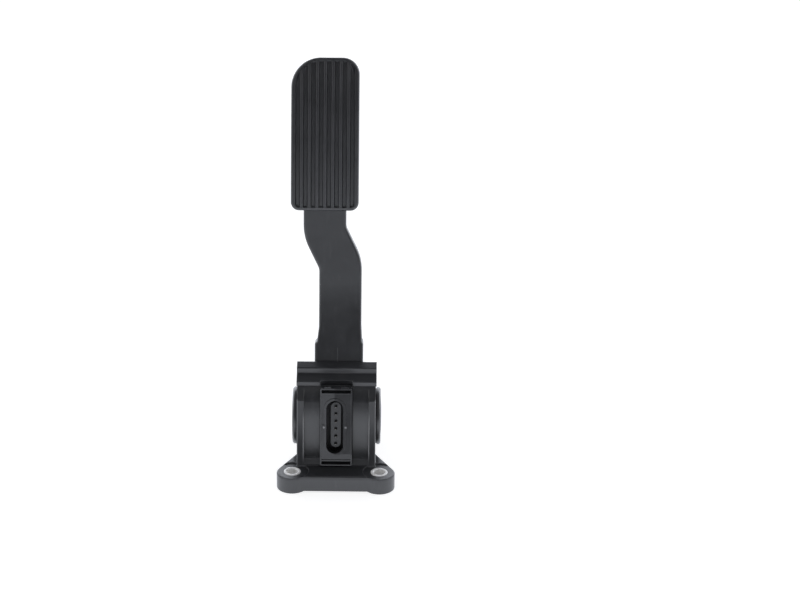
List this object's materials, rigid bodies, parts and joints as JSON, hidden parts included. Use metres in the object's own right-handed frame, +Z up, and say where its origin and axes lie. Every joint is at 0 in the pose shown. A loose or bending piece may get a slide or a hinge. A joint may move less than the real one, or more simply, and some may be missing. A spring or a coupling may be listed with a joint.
{
  "type": "accelerator pedal",
  "caption": "Floor-mounted electronic accelerator pedal: ribbed rubber pad on a sideways-bent arm, pivoting in a moulded sensor housing with a connector socket and bolt lugs.",
  "frame": {"origin": "on the mounting plane, midway between the two front bolt holes", "axes": "+X across the pedal to the right as the driver sees it, +Y away from the driver, +Z up from the mounting plane"},
  "size_m": [0.0804, 0.1232, 0.2728],
  "materials": {
    "housing_plastic": "moulded, satin",
    "cover_plastic": "moulded, satin",
    "cap_plastic": "moulded, satin",
    "connector_plastic": "moulded, matt",
    "arm_plastic": "moulded, satin",
    "pad_rubber": "matt, ribbed",
    "sleeve_steel": "zinc plated",
    "shaft_steel": "ground",
    "spring_steel": "oiled",
    "terminal_metal": "tin plated",
    "bush_polymer": "machined",
    "shell_polymer": "moulded",
    "seal_rubber": "smooth",
    "board_laminate": "lacquered",
    "chip_epoxy": "moulded",
    "carrier_plastic": "moulded",
    "magnet": "sintered"
  },
  "bodies": {
    "base": {"housing": "housing_plastic", "top_cover": "cover_plastic", "left_bearing_cap": "cap_plastic", "right_bearing_cap": "cap_plastic", "left_cap_seal": "seal_rubber", "right_cap_seal": "seal_rubber", "left_bush": "bush_polymer", "right_bush": "bush_polymer", "mounting_sleeves": "sleeve_steel", "connector_block": "connector_plastic", "connector_gasket": "seal_rubber", "connector_terminals": "terminal_metal", "sensor_board": "board_laminate", "hall_sensors": "chip_epoxy", "idle_stop_buffer": "seal_rubber", "full_throttle_buffer": "seal_rubber", "friction_shell": "shell_polymer", "left_return_spring": "spring_steel", "right_return_spring": "spring_steel"},
    "pedal": {"pedal_arm": "arm_plastic", "pedal_pad": "pad_rubber", "pivot_shaft": "shaft_steel", "magnet_carrier": "carrier_plastic", "sensor_magnets": "magnet"}
  },
  "joints": [
    {"name": "pedal_pivot", "type": "hinge", "parent": "base", "child": "pedal", "pos_m": [0, 0.03898, 0.034], "axis": [-1, 0, 0], "range_deg": [0, 18], "stiffness_Nm_per_rad": 8, "springref_deg": -28.65, "deforming": ["left_return_spring", "right_return_spring"]}
  ]
}
